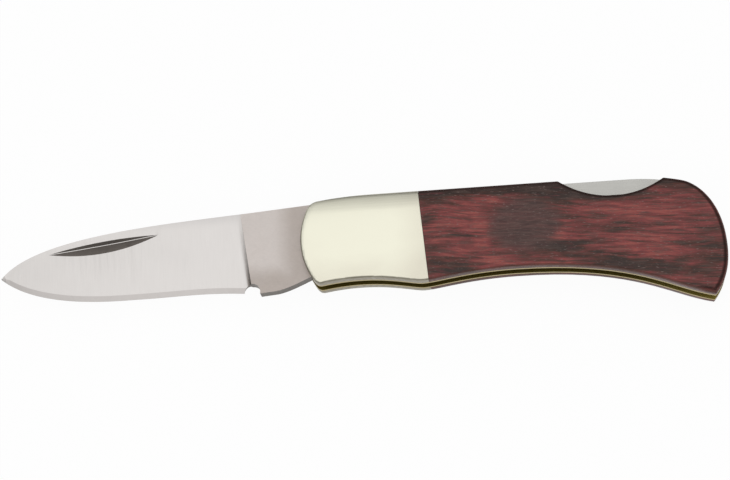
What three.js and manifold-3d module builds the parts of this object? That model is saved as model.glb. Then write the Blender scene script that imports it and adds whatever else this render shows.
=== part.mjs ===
// Folding pocket knife of the lockback kind, open, lying on its rear side.
// Millimetres, +Z up towards the side with the nail nick, +X towards the butt, +Y towards
// the spine. The blade points to -X. The origin is on the blade pivot's axis, on the plane
// that the knife lies on.
import * as THREE from 'three';
import { mergeVertices } from 'three/addons/utils/BufferGeometryUtils.js';
import Module from 'manifold-3d';

const wasm = await Module();
wasm.setup();

// Thickness, from the middle of the knife outwards.
const bladeThickness = 2.3;
const bladeSideClearance = 0.05;
const linerThickness = 0.5;
const scaleThickness = 1.9;

// Handle outline. Heights and depths are from the pivot's axis up to the spine or down to
// the belly, reaches are from it forwards to the nose or back towards the butt, and insets
// are from the butt.
const spineHeight = 8.08;
const noseReach = 8.68;
const noseRadius = 13.5;
const noseTopDip = 0.95;
const noseTopRound = 1.1;
const noseFootDepth = 8.3;
const noseFootRound = 0.8;
const spineDipLength = 13.0;
const bulgeReach = 12.93;
const bulgeDepth = 8.915;
const hollowReach = 29.86;
const hollowDepth = 7.4;
const handleReach = 66.97;
const heelInset = 2.76;
const heelDepth = 14.6;
const widestDepth = 6.2;
const shoulderInset = 6.13;
const shoulderDip = 1.73;
const shoulderStartInset = 17.05;

// Handles of the outline's curves, [run, rise] from the point that each one belongs to.
const outlineHandles = {
  footOut: [9.8, 1.56],
  bulgeIn: [-2.53, 0.05],
  bulgeOut: [2.71, 0.05],
  hollowIn: [-9.0, 0],
  hollowOut: [21.4, 0],
  heelIn: [-7.46, 1.6],
  heelOut: [2.09, 2.47],
  widestIn: [0, -3.14],
  widestOut: [0, 6.29],
  shoulderIn: [3.64, -1.68],
  shoulderOut: [-1.34, 0.62],
  startIn: [2.62, 0],
  crestIn: [-4.3, 0],
  noseTopIn: [4.0, 0.55],
  noseTopOut: [1.3, 0.2],
};

// Handle surface: a small round at every outer rim, and a wider crown along the spine.
const rimRound = 0.3;
const crownWidth = 3.2;
const crownDrop = 0.62;

// Joint between bolster and scale: a plane that leans back towards the belly.
const jointReach = 13.48;
const jointLean = 0.068;
const jointGap = 0.05;

// Thumb scallop over the lock bar's tail.
const scallopInset = 19.04;
const scallopDepth = 3.6;
const scallopRadius = 15.4;

// Blade outline. The folded blade's tip stops short of the butt.
const tipInset = 2.55;
const tipDrop = 2.6;
const tangTopDrop = 0.2;
const bladeSpineSlope = 0.0685;
const spineDropReach = 16.9;
const edgeDepth = 8.05;
const edgeTurnReach = 38.2;
const edgeHeelDepth = 8.28;
const choilReach = 17.95;
const choilDepth = 8.31;
const choilRadius = 1.5;
const kickDepth = 8.72;
const kickLength = 3.0;
const kickRise = 0.25;
const tangWaistReach = 6.8;
const tangWaistDepth = 6.08;

// Handles of the blade's curves, [run, rise] from the point that each one belongs to.
const bladeHandles = {
  dropOut: [-13.3, -0.92],
  tipUpper: [6.2, 7.9],
  tipLower: [7.3, -6.1],
  turnForward: [-5.2, 0],
  turnBack: [6.2, 0],
  heelForward: [-6.7, 0.72],
  kickOut: [2.2, 0.3],
  waistIn: [-1.6, -0.65],
};

// Blade section: a full flat grind that starts at the plunge, and a narrow edge bevel.
const plungeGap = 0.05;
const plungeLength = 1.1;
const plungeLean = 1.6;
const plungeLeanFade = 12.0;
const edgeBevelWidth = 1.0;
const edgeBevelThickness = 0.44;
const edgeLandThickness = 0.08;
const tipSpineThickness = 0.5;
const tipTaperHeight = 2.0;
const bevelMostOfHeight = 0.4;
const bevelTipSlope = 0.12;

// Nail nick, a crescent with a steep facet above its deepest line and a shallow one below.
const nickReach = 45.2;
const nickHeight = 2.55;
const nickLength = 20.7;
const nickTilt = 0.116;
const nickUpperWidth = 0.6;
const nickLowerWidth = 1.6;
const nickDeep = 0.42;

// Tang inside the handle: a round cam, and a notch for the lock bar's lug.
const camRadius = 4.6;
const camLeaveAngle = THREE.MathUtils.degToRad(-115);
const notchDepth = 2.0;
const notchSideGap = 0.1;

// Lock bar, a rocker on its own pin.
const lugFrontReach = 0.4;
const lugLength = 2.2;
const lugGap = 0.25;
const barNoseHeight = 2.05;
const barTailHeight = 2.8;
const barNoseEnd = 21.0;
const barPinReach = 30.0;
const barPinDrop = 2.7;
const barBossRadius = 2.1;
const barBossFill = 0.8;
const barBossLength = 6.0;
const barTailGap = 0.3;
const barTailTopDrop = 0.66;
const barTailRiseLength = 7.27;
const barTailRiseBend = [4.5, -0.02];

// Rear spacer and lock spring.
const spacerLength = 9.4;
const spacerFrontDepth = 0.5;
const spacerSlope = 0.55;
const springThickness = 0.9;
const springWidthGap = 0.05;
const springRootDrop = 4.1;
const springRootLength = 2.4;
const springStraight = 1.0;
const springTipInset = 14.0;
const springTipFlat = 2.0;
const springBend = 4.5;
const springTipGap = 0.1;

// Pins and rivets.
const pivotPinRadius = 1.5;
const smallPinRadius = 0.9;
const rivetRadius = 0.8;
const runningFit = 0.05;
const pinFit = 0.03;
const bolsterSkin = 0.4;
const upperSpacerPinInset = 5.55;
const upperSpacerPinDrop = 4.3;
const lowerSpacerPinInset = 3.3;
const lowerSpacerPinDepth = 1.3;
const noseRivetInset = 4.4;
const noseRivetDepth = 3.6;
const jointRivetInset = 3.9;
const jointRivetHeight = 3.6;

// Fineness of round stretches.
const outlineSteps = 18;
const pinSteps = 48;
const scallopSteps = 144;
const barCutSteps = 96;
const bladeStations = 56;
const plungeStations = 6;
const nickStations = 16;
const rimSteps = 3;
const crownSteps = 9;

// How far cutters pass through what they cut.
const cutReach = 40;
const cutBeyond = 5;

// Levels and places that follow from the sizes above.
const bladeHalf = bladeThickness / 2;
const slotHalf = bladeHalf + bladeSideClearance;
const linerOuter = slotHalf + linerThickness;
const handleHalf = linerOuter + scaleThickness;
const cutHalf = handleHalf + 1;
const bladeReach = handleReach - tipInset;
const plungeReach = choilReach + plungeGap;
const spacerFront = handleReach - spacerLength;
const barTailReach = spacerFront - barTailGap;
const barPinHeight = spineHeight - barPinDrop;
const springRootHigh = spineHeight - springRootDrop;
const springRootLow = springRootHigh - springThickness;
const noseCentreX = noseRadius - noseReach;
const tangTop = [lugFrontReach - notchSideGap, spineHeight - tangTopDrop];
const spacerPinSpots = [
  [handleReach - upperSpacerPinInset, spineHeight - upperSpacerPinDrop],
  [handleReach - lowerSpacerPinInset, -lowerSpacerPinDepth],
];
const rivetSpots = [
  [-noseReach + noseRivetInset, -noseRivetDepth],
  [jointReach - jointRivetInset, jointRivetHeight],
];

// Closed solids, booleans and back.
function solidOf(geometry) {
  const bare = new THREE.BufferGeometry();
  bare.setAttribute('position', geometry.getAttribute('position').clone());
  if (geometry.index) bare.setIndex(geometry.index.clone());
  const merged = mergeVertices(bare, 1e-5);
  return new wasm.Manifold(new wasm.Mesh({
    numProp: 3,
    vertProperties: new Float32Array(merged.getAttribute('position').array),
    triVerts: new Uint32Array(merged.index.array),
  }));
}

function geometryOf(solid) {
  const mesh = solid.getMesh();
  const geometry = new THREE.BufferGeometry();
  geometry.setAttribute('position', new THREE.BufferAttribute(new Float32Array(mesh.vertProperties), 3));
  geometry.setIndex(new THREE.BufferAttribute(new Uint32Array(mesh.triVerts), 1));
  return geometry;
}

function cutAll(solid, cutters) {
  return cutters.reduce((left, cutter) => left.subtract(cutter), solid);
}

// The same piece for the other side of the knife, with its faces still pointing out.
function mirroredInZ(geometry) {
  const other = geometry.clone().scale(1, 1, -1);
  const index = other.index.array;
  for (let i = 0; i < index.length; i += 3) {
    const kept = index[i];
    index[i] = index[i + 1];
    index[i + 1] = kept;
  }
  return other;
}

// An outline made solid between two levels.
function slab(shape, low, high, steps = outlineSteps) {
  const geometry = new THREE.ExtrudeGeometry(shape, {
    depth: high - low,
    bevelEnabled: false,
    curveSegments: steps,
  });
  return solidOf(geometry.translate(0, 0, low));
}

function polygonSlab(points, low, high) {
  return slab(new THREE.Shape(points.map(([x, y]) => new THREE.Vector2(x, y))), low, high);
}

// A round pin, or the cutter for its bore, along Z.
function rod(radius, x, y, low, high, steps = pinSteps) {
  const geometry = new THREE.CylinderGeometry(radius, radius, high - low, steps);
  return solidOf(geometry.rotateX(Math.PI / 2).translate(x, y, (low + high) / 2));
}

// A closed skin over rings of points that follow each other.
function loft(rings) {
  const count = rings[0].length;
  const positions = rings.flat().flatMap((point) => [point.x, point.y, point.z]);
  const faces = [];
  for (let r = 0; r + 1 < rings.length; r += 1) {
    for (let i = 0; i < count; i += 1) {
      const here = r * count + i;
      const next = r * count + ((i + 1) % count);
      faces.push(here, next, next + count, here, next + count, here + count);
    }
  }
  const last = (rings.length - 1) * count;
  for (let i = 1; i + 1 < count; i += 1) {
    faces.push(0, i + 1, i);
    faces.push(last, last + i, last + i + 1);
  }
  const geometry = new THREE.BufferGeometry();
  geometry.setAttribute('position', new THREE.BufferAttribute(new Float32Array(positions), 3));
  geometry.setIndex(faces);
  return solidOf(geometry);
}

// Height of a curve that runs steadily in x, at one x.
function heightAt(curve, x) {
  const rising = curve.getPoint(1).x > curve.getPoint(0).x;
  let low = 0;
  let high = 1;
  for (let step = 0; step < 40; step += 1) {
    const middle = (low + high) / 2;
    if ((curve.getPoint(middle).x < x) === rising) low = middle;
    else high = middle;
  }
  return curve.getPoint(low).y;
}

// A curve from where the outline stands to a point, leaving and arriving along handles.
function bend(shape, leave, end, arrive) {
  const from = shape.currentPoint;
  shape.bezierCurveTo(
    from.x + leave[0], from.y + leave[1],
    end[0] + arrive[0], end[1] + arrive[1],
    end[0], end[1],
  );
}

// Place on the bolster nose's arc at one height, and its angle round the arc's centre.
function noseArcPoint(y) {
  return new THREE.Vector2(noseCentreX - Math.sqrt(noseRadius ** 2 - y ** 2), y);
}

function noseArcAngle(y) {
  return Math.atan2(y, noseArcPoint(y).x - noseCentreX);
}

// Handle outline, shared by liners, bolsters, scales, lock bar and spacer.
function handleShape() {
  const at = outlineHandles;
  const foot = noseArcPoint(-noseFootDepth);
  const bellyStart = new THREE.Vector2(...at.footOut).setLength(noseFootRound).add(foot);
  const noseTop = noseArcPoint(spineHeight - noseTopDip);
  const arcStart = noseArcPoint(noseTop.y - noseTopRound);
  const arcEndHeight = foot.y + noseFootRound;
  const crestStart = [noseTop.x + spineDipLength, spineHeight];
  const noseTopEnd = [noseTop.x + at.noseTopOut[0], noseTop.y + at.noseTopOut[1]];
  const shape = new THREE.Shape();
  shape.moveTo(bellyStart.x, bellyStart.y);
  bend(shape, at.footOut, [bulgeReach, -bulgeDepth], at.bulgeIn);
  bend(shape, at.bulgeOut, [hollowReach, -hollowDepth], at.hollowIn);
  bend(shape, at.hollowOut, [handleReach - heelInset, -heelDepth], at.heelIn);
  bend(shape, at.heelOut, [handleReach, -widestDepth], at.widestIn);
  bend(shape, at.widestOut, [handleReach - shoulderInset, spineHeight - shoulderDip], at.shoulderIn);
  bend(shape, at.shoulderOut, [handleReach - shoulderStartInset, spineHeight], at.startIn);
  shape.lineTo(...crestStart);
  bend(shape, at.crestIn, noseTopEnd, at.noseTopIn);
  shape.quadraticCurveTo(noseTop.x, noseTop.y, arcStart.x, arcStart.y);
  shape.absarc(
    noseCentreX, 0, noseRadius,
    noseArcAngle(arcStart.y), noseArcAngle(arcEndHeight) + 2 * Math.PI, false,
  );
  shape.quadraticCurveTo(foot.x, foot.y, bellyStart.x, bellyStart.y);
  return shape;
}

// One side of the handle between its liner and its outer face, bolster and scale together.
function handleSide() {
  const rimmed = new THREE.ExtrudeGeometry(handleShape(), {
    depth: scaleThickness,
    bevelEnabled: true,
    bevelThickness: rimRound,
    bevelSize: rimRound,
    bevelOffset: -rimRound,
    bevelSegments: rimSteps,
    curveSegments: outlineSteps,
  });
  rimmed.translate(0, 0, handleHalf - scaleThickness - rimRound);
  return solidOf(rimmed).intersect(crownedSpace());
}

// The space under the crowned outer face: flat, then an elliptic fall to the spine.
function crownedSpace() {
  const above = spineHeight + cutBeyond;
  const profile = [
    [-cutReach, linerOuter],
    [above, linerOuter],
    [above, handleHalf - crownDrop],
  ];
  for (let step = 0; step <= crownSteps; step += 1) {
    const turn = (step / crownSteps) * (Math.PI / 2);
    profile.push([
      spineHeight - crownWidth + crownWidth * Math.cos(turn),
      handleHalf - crownDrop + crownDrop * Math.sin(turn),
    ]);
  }
  profile.push([-cutReach, handleHalf]);
  const shape = new THREE.Shape(profile.map(([y, z]) => new THREE.Vector2(y, z)));
  const length = noseReach + handleReach + 2 * cutBeyond;
  const geometry = new THREE.ExtrudeGeometry(shape, { depth: length, bevelEnabled: false });
  geometry.applyMatrix4(new THREE.Matrix4().makeBasis(
    new THREE.Vector3(0, 1, 0),
    new THREE.Vector3(0, 0, 1),
    new THREE.Vector3(1, 0, 0),
  ));
  return solidOf(geometry.translate(-noseReach - cutBeyond, 0, 0));
}

// Everything on one side of the bolster joint, half of the joint's gap away from it.
function spaceBesideJoint(towardsButt) {
  const side = towardsButt ? 1 : -1;
  const shift = jointReach + (side * jointGap) / 2;
  const far = side * (handleReach + cutReach);
  const points = [
    [shift + jointLean * cutReach, -cutReach],
    [far, -cutReach],
    [far, cutReach],
    [shift - jointLean * cutReach, cutReach],
  ];
  return polygonSlab(towardsButt ? points : points.reverse(), -cutHalf, cutHalf);
}

function scallopCutter() {
  const centreHeight = spineHeight - scallopDepth + scallopRadius;
  return rod(
    scallopRadius, handleReach - scallopInset, centreHeight, -cutHalf, cutHalf, scallopSteps,
  );
}

function bolster() {
  const bores = [rod(pivotPinRadius + pinFit, 0, 0, 0, handleHalf - bolsterSkin)];
  for (const [x, y] of rivetSpots) {
    bores.push(rod(rivetRadius + pinFit, x, y, 0, handleHalf - bolsterSkin));
  }
  return geometryOf(cutAll(handleSide().intersect(spaceBesideJoint(false)), bores));
}

function scale() {
  return geometryOf(handleSide().intersect(spaceBesideJoint(true)).subtract(scallopCutter()));
}

function liner() {
  const bores = [
    rod(pivotPinRadius + pinFit, 0, 0, 0, handleHalf),
    rod(smallPinRadius + pinFit, barPinReach, barPinHeight, 0, handleHalf),
    scallopCutter(),
  ];
  for (const [x, y] of rivetSpots) {
    bores.push(rod(rivetRadius + pinFit, x, y, 0, handleHalf));
  }
  for (const [x, y] of spacerPinSpots) {
    bores.push(rod(smallPinRadius + pinFit, x, y, 0, handleHalf));
  }
  return geometryOf(cutAll(slab(handleShape(), slotHalf, linerOuter), bores));
}

// Height of the blade's straight spine, from the tang's top corner forwards.
function bladeSpineAt(x) {
  return tangTop[1] - bladeSpineSlope * (tangTop[0] - x);
}

function curveBetween(start, leave, end, arrive) {
  return new THREE.CubicBezierCurve(
    new THREE.Vector2(...start),
    new THREE.Vector2(start[0] + leave[0], start[1] + leave[1]),
    new THREE.Vector2(end[0] + arrive[0], end[1] + arrive[1]),
    new THREE.Vector2(...end),
  );
}

// Blade outline curves: the drop of the spine to the tip, and the edge back from it.
function bladeCurves() {
  const at = bladeHandles;
  const tip = [-bladeReach, -tipDrop];
  const dropStart = [-spineDropReach, bladeSpineAt(-spineDropReach)];
  const edgeTurn = [-edgeTurnReach, -edgeDepth];
  const edgeHeel = [-choilReach - choilRadius, -edgeHeelDepth];
  return {
    drop: curveBetween(dropStart, at.dropOut, tip, at.tipUpper),
    belly: curveBetween(tip, at.tipLower, edgeTurn, at.turnForward),
    heel: curveBetween(edgeTurn, at.turnBack, edgeHeel, at.heelForward),
  };
}

const blank = bladeCurves();

// Spine and edge heights of the ground blade at one x.
function bladeSpineHeight(x) {
  return x > -spineDropReach ? bladeSpineAt(x) : heightAt(blank.drop, x);
}

function bladeEdgeHeight(x) {
  if (x < -edgeTurnReach) return heightAt(blank.belly, x);
  if (x < -choilReach - choilRadius) return heightAt(blank.heel, x);
  return -edgeHeelDepth;
}

// Slope of the flat grind: from the edge bevel's shoulder to full thickness at the spine.
const grindX = -plungeReach - plungeLength - plungeLean;
const grindHeight = bladeSpineHeight(grindX) - bladeEdgeHeight(grindX) - edgeBevelWidth;
const grindSlope = (bladeHalf - edgeBevelThickness / 2) / grindHeight;

// Half thickness of the flat grind, a set rise above the edge bevel's shoulder.
function grindHalfAt(rise, bladeHeight) {
  const tipHalf = (tipSpineThickness / 2) * Math.min(1, bladeHeight / tipTaperHeight);
  const half = edgeBevelThickness / 2 + grindSlope * rise;
  return Math.min(bladeHalf, Math.max(half, tipHalf));
}

// One section of the ground blade. blend is 0 on the grind and 1 at full thickness, and
// lean sets the spine's end of the section further forwards than the edge's.
function bladeRing(x, blend, lean) {
  const edge = bladeEdgeHeight(x);
  const spine = bladeSpineHeight(x - lean);
  const height = spine - edge;
  const shoulder = edge + Math.min(edgeBevelWidth, bevelMostOfHeight * height);
  const bevelHalf = Math.min(edgeBevelThickness, bevelTipSlope * height * 2 + edgeLandThickness) / 2;
  const halfAt = (ground) => THREE.MathUtils.lerp(ground, bladeHalf, blend);
  const spineHalf = halfAt(grindHalfAt(spine - shoulder, height));
  const shoulderHalf = halfAt(bevelHalf);
  const edgeHalf = halfAt(edgeLandThickness / 2);
  return [
    new THREE.Vector3(x, edge, edgeHalf),
    new THREE.Vector3(x, shoulder, shoulderHalf),
    new THREE.Vector3(x - lean, spine, spineHalf),
    new THREE.Vector3(x - lean, spine, -spineHalf),
    new THREE.Vector3(x, shoulder, -shoulderHalf),
    new THREE.Vector3(x, edge, -edgeHalf),
  ];
}

// The ground part of the blade, from inside the tang to the tip.
function groundBlade() {
  const overlap = 1.0;
  const tipStop = 0.04;
  const crowdingToTip = 1.5;
  const rings = [bladeRing(-plungeReach + overlap, 1, 0)];
  for (let step = 0; step <= plungeStations; step += 1) {
    const run = step / plungeStations;
    const blend = 1 - Math.sqrt(1 - (1 - run) ** 2);
    rings.push(bladeRing(-plungeReach - plungeLength * run, blend, plungeLean));
  }
  const start = -plungeReach - plungeLength;
  for (let station = 1; station <= bladeStations; station += 1) {
    const run = 1 - (1 - station / bladeStations) ** crowdingToTip;
    const x = THREE.MathUtils.lerp(start, -bladeReach + tipStop, run);
    const lean = plungeLean * Math.max(0, 1 - (start - x) / plungeLeanFade);
    rings.push(bladeRing(x, 0, lean));
  }
  return loft(rings);
}

// Tang: full thickness, from the plunge to the cam round the pivot.
function tang() {
  const notchFloor = camRadius - notchDepth;
  const hornX = lugFrontReach + lugLength + notchSideGap;
  const hornAngle = Math.acos(hornX / camRadius);
  const kickX = -choilReach + choilRadius;
  const shape = new THREE.Shape();
  shape.moveTo(-plungeReach, bladeSpineAt(-plungeReach));
  shape.lineTo(-plungeReach, -edgeHeelDepth);
  shape.lineTo(kickX, -kickDepth);
  shape.lineTo(kickX + kickLength, -kickDepth + kickRise);
  bend(shape, bladeHandles.kickOut, [-tangWaistReach, -tangWaistDepth], bladeHandles.waistIn);
  shape.lineTo(camRadius * Math.cos(camLeaveAngle), camRadius * Math.sin(camLeaveAngle));
  shape.absarc(0, 0, camRadius, camLeaveAngle, hornAngle, false);
  shape.lineTo(hornX, notchFloor);
  shape.lineTo(tangTop[0], notchFloor);
  shape.lineTo(...tangTop);
  return slab(shape, -bladeHalf, bladeHalf);
}

// Cutter of the nail nick: triangles whose deepest point follows a shallow arc.
function nickCutter() {
  const along = new THREE.Vector2(1, nickTilt).normalize();
  const across = new THREE.Vector2(-along.y, along.x);
  const middleOfNick = new THREE.Vector2(-nickReach, nickHeight);
  const beyondFace = 1.5;
  const smallest = 0.01;
  const faceAt = ({ x, y }) => {
    const edge = bladeEdgeHeight(x);
    return grindHalfAt(y - edge - edgeBevelWidth, bladeSpineHeight(x) - edge);
  };
  const rings = [];
  for (let station = 0; station <= nickStations; station += 1) {
    const run = (station / nickStations) * 2 - 1;
    const share = Math.max(1 - run * run, smallest);
    const middle = middleOfNick.clone().addScaledVector(along, (run * nickLength) / 2);
    const deepest = new THREE.Vector3(middle.x, middle.y, faceAt(middle) - nickDeep * share);
    const beyond = (offset) => {
      const point = middle.clone().addScaledVector(across, offset * share);
      const onFace = new THREE.Vector3(point.x, point.y, faceAt(point));
      return onFace.sub(deepest).multiplyScalar(beyondFace).add(deepest);
    };
    rings.push([deepest, beyond(nickUpperWidth), beyond(-nickLowerWidth)]);
  }
  return loft(rings);
}

function blade() {
  return geometryOf(cutAll(groundBlade().add(tang()), [
    rod(choilRadius, -choilReach, -choilDepth, -cutHalf, cutHalf),
    rod(pivotPinRadius + runningFit, 0, 0, -cutHalf, cutHalf),
    nickCutter(),
  ]));
}

// Lock bar: nose and lug over the tang, boss round its pin, tail under the scallop.
function lockBar() {
  const lugBack = lugFrontReach + lugLength;
  const noseUnder = spineHeight - barNoseHeight;
  const tailUnder = spineHeight - barTailHeight;
  const aboveAll = spineHeight + cutBeyond;
  const bar = polygonSlab([
    [lugFrontReach, 0],
    [lugBack, 0],
    [lugBack, noseUnder],
    [barNoseEnd, noseUnder],
    [barPinReach, barPinHeight - barBossFill],
    [barPinReach + barBossLength, tailUnder],
    [barTailReach, tailUnder],
    [barTailReach, aboveAll],
    [lugFrontReach, aboveAll],
  ], -bladeHalf, bladeHalf);
  const flush = bar
    .add(rod(barBossRadius, barPinReach, barPinHeight, -bladeHalf, bladeHalf))
    .intersect(slab(handleShape(), -cutHalf, cutHalf).add(tailRise()));
  return geometryOf(cutAll(flush, [
    rod(camRadius + lugGap, 0, 0, -cutHalf, cutHalf, barCutSteps),
    rod(smallPinRadius + runningFit, barPinReach, barPinHeight, -cutHalf, cutHalf),
  ]));
}

// The tail's top under the scallop stays straight for longer than the handle's outline.
function tailRise() {
  const startX = barTailReach - barTailRiseLength;
  const shape = new THREE.Shape();
  shape.moveTo(startX, spineHeight - barTailHeight);
  shape.lineTo(barTailReach, spineHeight - barTailHeight);
  shape.lineTo(barTailReach, spineHeight - barTailTopDrop);
  shape.quadraticCurveTo(
    startX + barTailRiseBend[0], spineHeight + barTailRiseBend[1], startX, spineHeight,
  );
  return slab(shape, -cutHalf, cutHalf);
}

// Rear spacer: fills the slot at the butt, above the folded blade's point.
function rearSpacer() {
  const farX = handleReach + cutBeyond;
  const above = spineHeight + cutBeyond;
  const region = polygonSlab([
    [spacerFront, -spacerFrontDepth],
    [farX, -spacerFrontDepth - spacerSlope * (farX - spacerFront)],
    [farX, above],
    [spacerFront, above],
  ], -cutHalf, cutHalf);
  const cutters = [polygonSlab([
    [spacerFront - cutBeyond, springRootLow],
    [spacerFront + springRootLength, springRootLow],
    [spacerFront + springRootLength, springRootHigh],
    [spacerFront - cutBeyond, springRootHigh],
  ], -cutHalf, cutHalf)];
  for (const [x, y] of spacerPinSpots) {
    cutters.push(rod(smallPinRadius + pinFit, x, y, -cutHalf, cutHalf));
  }
  return geometryOf(cutAll(slab(handleShape(), -slotHalf, slotHalf).intersect(region), cutters));
}

// Lock spring: a flat leaf from its root in the spacer to a level tip under the bar's tail.
function lockSpring() {
  const tipHigh = spineHeight - barTailHeight - springTipGap;
  const tipLow = tipHigh - springThickness;
  const rootX = spacerFront + springRootLength;
  const bendX = spacerFront - springStraight;
  const tipX = spacerFront - springTipInset;
  const shape = new THREE.Shape();
  shape.moveTo(rootX, springRootLow);
  shape.lineTo(rootX, springRootHigh);
  shape.lineTo(bendX, springRootHigh);
  bend(shape, [-springBend, 0], [tipX + springTipFlat, tipHigh], [springBend, 0]);
  shape.lineTo(tipX, tipHigh);
  shape.lineTo(tipX, tipLow);
  shape.lineTo(tipX + springTipFlat, tipLow);
  bend(shape, [springBend, 0], [bendX, springRootLow], [-springBend, 0]);
  return geometryOf(slab(shape, -bladeHalf + springWidthGap, bladeHalf - springWidthGap));
}

// Pins and rivets, each a plain round rod.
function pivotPin() {
  const end = handleHalf - bolsterSkin - runningFit;
  return geometryOf(rod(pivotPinRadius, 0, 0, -end, end));
}

function throughPin(x, y) {
  return geometryOf(rod(smallPinRadius, x, y, -linerOuter, linerOuter));
}

function bolsterRivet(x, y) {
  return geometryOf(rod(rivetRadius, x, y, slotHalf, handleHalf - bolsterSkin - runningFit));
}

// Materials.
const bladeSteel = new THREE.MeshStandardMaterial({ color: '#d3d0cb', roughness: 0.34, metalness: 0.95 });
const barSteel = new THREE.MeshStandardMaterial({ color: '#b8b8b4', roughness: 0.38, metalness: 0.95 });
const springSteel = new THREE.MeshStandardMaterial({ color: '#8f9194', roughness: 0.42, metalness: 0.95 });
const nickelSilver = new THREE.MeshStandardMaterial({ color: '#e4e0cf', roughness: 0.14, metalness: 1.0 });
const linerBrass = new THREE.MeshStandardMaterial({ color: '#b09a4e', roughness: 0.32, metalness: 1.0 });
const laminatedWood = new THREE.MeshStandardMaterial({ color: '#6b3632', roughness: 0.4, metalness: 0.0 });

// The knife, lifted so that its rear side lies on z = 0.
const knife = new THREE.Group();
knife.position.z = handleHalf;

function place(name, geometry, material) {
  const mesh = new THREE.Mesh(geometry, material.clone());
  mesh.name = name;
  knife.add(mesh);
}

place('blade', blade(), bladeSteel);
place('pivot_pin', pivotPin(), barSteel);
place('lock_bar', lockBar(), barSteel);
place('lock_bar_pin', throughPin(barPinReach, barPinHeight), barSteel);
place('lock_spring', lockSpring(), springSteel);
place('rear_spacer', rearSpacer(), barSteel);
spacerPinSpots.forEach(([x, y], i) => {
  place(`spacer_pin_${i + 1}`, throughPin(x, y), barSteel);
});

const sidePieces = [
  ['liner', liner(), linerBrass],
  ['bolster', bolster(), nickelSilver],
  ['scale', scale(), laminatedWood],
  ...rivetSpots.map(([x, y], i) => [`bolster_rivet_${i + 1}`, bolsterRivet(x, y), nickelSilver]),
];
for (const [name, geometry, material] of sidePieces) {
  place(`front_${name}`, geometry, material);
  place(`rear_${name}`, mirroredInZ(geometry), material);
}

export default knife;
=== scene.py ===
"""Looks of a folding pocket knife of the lockback kind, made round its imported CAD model.

Run as a script, it loads the CAD model as a fixed frame, makes each visible piece with its
softened edges and its finish, and sets the floor, the light and the camera.
"""

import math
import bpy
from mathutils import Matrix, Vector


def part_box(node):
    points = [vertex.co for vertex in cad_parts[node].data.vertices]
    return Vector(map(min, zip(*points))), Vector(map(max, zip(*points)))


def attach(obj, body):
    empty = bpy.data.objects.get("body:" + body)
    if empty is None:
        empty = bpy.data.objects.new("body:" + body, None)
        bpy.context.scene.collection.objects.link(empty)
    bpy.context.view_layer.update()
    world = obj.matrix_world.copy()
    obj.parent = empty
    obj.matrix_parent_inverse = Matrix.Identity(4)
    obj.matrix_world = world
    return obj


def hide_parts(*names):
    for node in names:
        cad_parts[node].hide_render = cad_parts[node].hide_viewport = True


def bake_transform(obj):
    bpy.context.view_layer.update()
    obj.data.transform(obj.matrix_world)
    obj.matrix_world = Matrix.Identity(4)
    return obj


bl_info = {
    "name": "Folding Pocket Knife",
    "version": (1, 0, 0),
    "blender": (4, 5, 0),
    "location": "View3D > Sidebar > Knife",
    "description": "Blade, handle and lock of a folding pocket knife, round its CAD model",
    "category": "Object",
}

import bmesh
import bpy
import numpy as np
from mathutils import Matrix, Vector

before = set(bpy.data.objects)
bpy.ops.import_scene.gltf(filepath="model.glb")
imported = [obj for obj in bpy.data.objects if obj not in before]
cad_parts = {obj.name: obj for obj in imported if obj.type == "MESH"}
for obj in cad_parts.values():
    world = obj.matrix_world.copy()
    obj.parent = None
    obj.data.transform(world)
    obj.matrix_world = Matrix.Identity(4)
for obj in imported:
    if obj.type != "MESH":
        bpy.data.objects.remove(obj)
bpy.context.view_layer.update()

MM = 0.001

# Places on the knife that its shapes and finishes follow, in millimetres from the blade's
# pivot. X runs to the butt, Y to the spine.
MIDDLE_HEIGHT = 3.6
BOLSTER_JOINT = 13.5
JOINT_LEAN = 0.068
PLUNGE = -18.0
PLUNGE_LENGTH = 1.3
TANG_SPINE_FROM = 3.0
BELT_START = 24.0
BELT_RUN = 14.0
BUTT_START = 56.0
BUTT_RUN = 8.0

# The nail nick's crescent, in millimetres.
NICK_MIDDLE = Vector((-45.2, 2.55))
NICK_LENGTH = 20.7
NICK_ALONG = Vector((1.0, 0.116)).normalized()
NICK_UPPER_WIDTH = 0.6
NICK_LOWER_WIDTH = 1.6
NICK_BOTTOM_NEAR = 0.05
NICK_ABOVE_MIDDLE = 0.3

# How the handle's outer faces fall from their middle line, in millimetres: over all, at
# the nose, up to the spine and in the rim. MOST_FALLS is how many times the slight fall
# over all the farthest places get.
FACE_CELL = 0.45
FACE_MIDDLE = -2.5
FACE_HALF = 10.0
NOSE_START = -1.0
NOSE_RUN = 7.5
MOST_FALLS = 1.4
CROWN_START = 3.0
CROWN_RUN = 5.1
SPINE_FALL = 0.18
RIM_WIDTH = 0.8
RIM_FINE = 1.1
RIM_FINE_EDGE = 0.2
RIM_RADII = (0.06, 0.50, 0.65)
LEAST_RADIUS = 0.01

# Width of the mark named edge, in millimetres: its own, what each millimetre of rounding
# adds, and the fade after them.
EDGE_NEAR = 0.30
EDGE_PER_RADIUS = 0.60
EDGE_FADE = 0.25

# Walls this near to a pin's CAD box, in metres, are its bore, and walls this near to the
# joint's line, in millimetres, are the joint. Neither is outline.
BORE_EXTRA = Vector((0.1, 0.1, 0.0)) * MM
JOINT_NEAR = 0.3

# The blade's finishes, in the order of its materials.
GRIND, TANG, EDGE, NICK = range(4)

# Angles in degrees: edges sharper than the first two are rounded, in the nail nick and on
# all pieces, and edges sharper than the last two are shaded as edges.
NICK_SHARP = 30
PIECE_SHARP = 50
SHADE_SHARP = 35.0
BLADE_SHADE_SHARP = 5.0

# Share of the rounding that hidden or ground edges get.
BLADE_ROUND = 0.5
BOLSTER_ROUND = 0.6
LINER_ROUND = 0.5

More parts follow.
